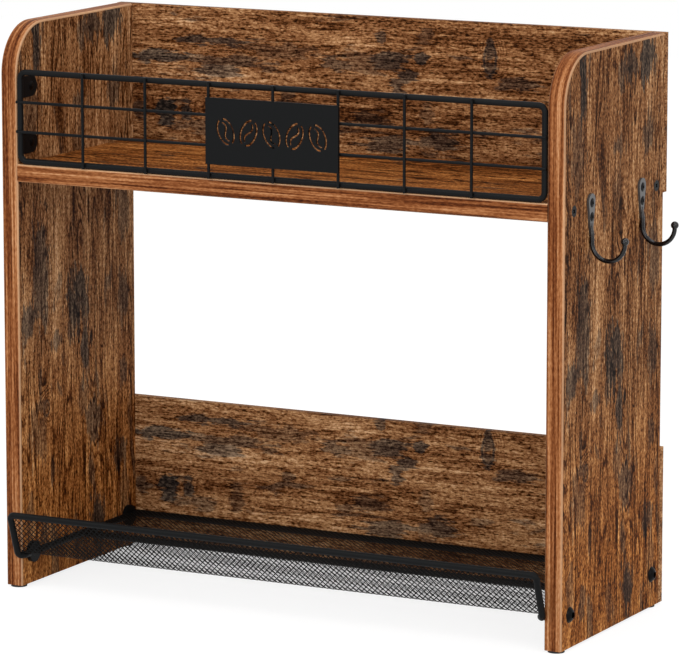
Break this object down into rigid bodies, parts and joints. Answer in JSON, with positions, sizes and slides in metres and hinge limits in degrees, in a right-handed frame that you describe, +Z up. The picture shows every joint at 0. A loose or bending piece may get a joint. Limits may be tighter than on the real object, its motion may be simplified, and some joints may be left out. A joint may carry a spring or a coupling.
{
  "type": "coffee station organizer",
  "caption": "Counter-top organizer: wood side panels, an upper shelf with a wire guard and bean-cut sign plate, a low mesh tray with a raised lip, and side mug hooks.",
  "frame": {"origin": "middle of the whole object's base, on the surface it stands on", "axes": "+X to the right along the shelf, towards the mug hooks; +Y from the open front to the back boards; +Z up"},
  "size_m": [0.4459, 0.177, 0.3855],
  "materials": {
    "board": "satin printed melamine over particleboard",
    "edge_band": "satin printed edge band",
    "metal": "fine matte black powder coat on steel",
    "screw": "black oxide steel",
    "dowel": "bare beech",
    "foot": "soft matte"
  },
  "bodies": {
    "root": {"left_side_panel": "board", "right_side_panel": "board", "left_edge_band": "edge_band", "right_edge_band": "edge_band", "shelf_board": "board", "shelf_edge_band": "edge_band", "upper_back_board": "board", "lower_back_board": "board", "guard_frame": "metal", "guard_upright_1": "metal", "guard_upright_2": "metal", "guard_upright_3": "metal", "guard_upright_4": "metal", "guard_upright_5": "metal", "guard_upright_6": "metal", "guard_upright_7": "metal", "guard_cross_wire_lower": "metal", "guard_cross_wire_upper": "metal", "guard_tab_left_lower": "metal", "guard_tab_left_upper": "metal", "guard_tab_right_lower": "metal", "guard_tab_right_upper": "metal", "sign_plate": "metal", "tray_lip_wire": "metal", "tray_side_wire_left": "metal", "tray_side_wire_right": "metal", "tray_rear_wire": "metal", "tray_cross_wire": "metal", "tray_mesh_floor": "metal", "tray_mesh_lip": "metal", "tray_ear_left_front": "metal", "tray_ear_left_rear": "metal", "tray_ear_right_front": "metal", "tray_ear_right_rear": "metal", "hook_front": "metal", "hook_rear": "metal", "shelf_screws": "screw", "back_screws_upper": "screw", "back_screws_lower": "screw", "guard_screws": "screw", "hook_screws": "screw", "tray_bolts": "screw", "shelf_dowels": "dowel", "foot_left_front": "foot", "foot_left_rear": "foot", "foot_right_front": "foot", "foot_right_rear": "foot"}
  },
  "joints": []
}
